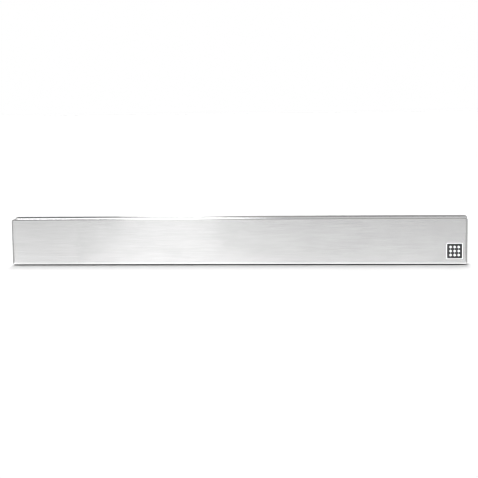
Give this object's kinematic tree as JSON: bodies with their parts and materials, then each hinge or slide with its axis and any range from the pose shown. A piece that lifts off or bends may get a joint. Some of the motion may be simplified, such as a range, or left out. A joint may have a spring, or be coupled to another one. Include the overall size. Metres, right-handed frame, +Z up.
{
  "type": "magnetic knife rack",
  "caption": "Wall-mounted magnetic knife rack: brushed steel cover over rows of block magnets, hooked onto a screwed wall rail and lifted off upwards.",
  "frame": {"origin": "middle of the wall rail's back face, on the wall plane", "axes": "+X along the rack to the right as seen from the front, +Y into the wall, +Z up"},
  "size_m": [0.4504, 0.022, 0.047],
  "materials": {
    "brushed_steel": "satin",
    "badge": "satin",
    "tape": "matte",
    "black_plastic": "matte",
    "ferrite": "matte",
    "zinc_steel": "satin",
    "rubber": "matte"
  },
  "bodies": {
    "wall_side": {"wall_rail": "zinc_steel"},
    "rack": {"front_cover": "brushed_steel", "badge_plate": "badge", "adhesive_tape_upper": "tape", "adhesive_tape_middle": "tape", "adhesive_tape_lower": "tape", "magnet_carrier": "black_plastic", "magnet_upper_1": "ferrite", "magnet_upper_2": "ferrite", "magnet_upper_3": "ferrite", "magnet_upper_4": "ferrite", "magnet_upper_5": "ferrite", "magnet_upper_6": "ferrite", "magnet_upper_7": "ferrite", "magnet_upper_8": "ferrite", "magnet_lower_1": "ferrite", "magnet_lower_2": "ferrite", "magnet_lower_3": "ferrite", "magnet_lower_4": "ferrite", "magnet_lower_5": "ferrite", "magnet_lower_6": "ferrite", "magnet_lower_7": "ferrite", "magnet_lower_8": "ferrite", "yoke_plate": "zinc_steel", "hanger_left": "zinc_steel", "hanger_right": "zinc_steel", "hanger_rivet_left_1": "zinc_steel", "hanger_rivet_left_2": "zinc_steel", "hanger_rivet_right_1": "zinc_steel", "hanger_rivet_right_2": "zinc_steel", "back_cover": "black_plastic", "back_cover_screw_1": "zinc_steel", "back_cover_screw_2": "zinc_steel", "back_cover_screw_3": "zinc_steel", "back_cover_screw_4": "zinc_steel", "back_cover_screw_5": "zinc_steel", "back_cover_screw_6": "zinc_steel", "wall_bumper_1": "rubber", "wall_bumper_2": "rubber", "wall_bumper_3": "rubber", "wall_bumper_4": "rubber"}
  },
  "joints": [
    {"name": "rack_lift", "type": "slide", "parent": "wall_side", "child": "rack", "axis": [0, 0, 1], "range_m": [0, 0.009]}
  ]
}
